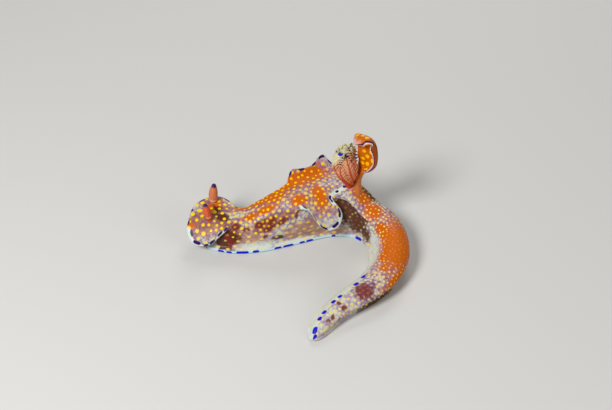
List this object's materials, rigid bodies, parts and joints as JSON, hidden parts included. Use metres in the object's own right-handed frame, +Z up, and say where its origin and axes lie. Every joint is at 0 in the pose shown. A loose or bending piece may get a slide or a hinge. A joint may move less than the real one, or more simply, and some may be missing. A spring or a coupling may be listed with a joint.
{
  "type": "sea slug",
  "caption": "Crawling sea slug with a hood over its mouth, club-shaped rhinophores, side lobes, plumed gills, a tall curled horn and a long bent tail.",
  "frame": {"origin": "middle of the whole animal's box at floor level, under its sole", "axes": "+Z up; the head points along -X and the trunk runs along +X, with the tail curled round towards -Y and back"},
  "size_m": [0.0524, 0.0491, 0.0268],
  "materials": {
    "foot_skin": "moist pale lilac foot with blue-violet dashes along its edge",
    "hood_skin": "moist lilac mantle with yellow spots, violet dashes and a white edge",
    "lobe_skin": "moist lilac mantle lobe with large yellow spots, violet dashes and a white edge",
    "rhinophore_skin": "moist orange-red club with a dark violet tip",
    "tentacle_skin": "moist pale pink feeler",
    "mouth_skin": "moist pale pink lips",
    "gill_skin": "translucent pale plumes with orange-red ribs and cream tips",
    "horn_skin": "moist orange skin with yellow spots and a white and violet edge",
    "tail_skin": "moist lilac and orange skin with small yellow spots",
    "trunk_skin": "moist lilac skin with orange and maroon patches and yellow spots",
    "head_skin": "moist lilac and orange-brown skin with yellow spots"
  },
  "bodies": {
    "root": {"foot_front": "foot_skin", "foot_tail_base": "foot_skin", "foot_tail_end": "foot_skin", "foot_tail_middle": "foot_skin", "foot_trunk": "foot_skin", "gills": "gill_skin", "head": "head_skin", "hood_left": "hood_skin", "hood_right": "hood_skin", "horn": "horn_skin", "middle_lobe_right": "lobe_skin", "mouth": "mouth_skin", "oral_tentacle_left": "tentacle_skin", "oral_tentacle_right": "tentacle_skin", "rear_lobe_left": "lobe_skin", "rear_lobe_right": "lobe_skin", "rhinophore_left": "rhinophore_skin", "rhinophore_right": "rhinophore_skin", "tail_base": "tail_skin", "tail_end": "tail_skin", "tail_middle": "tail_skin", "tail_tip": "tail_skin", "trunk": "trunk_skin"}
  },
  "joints": []
}
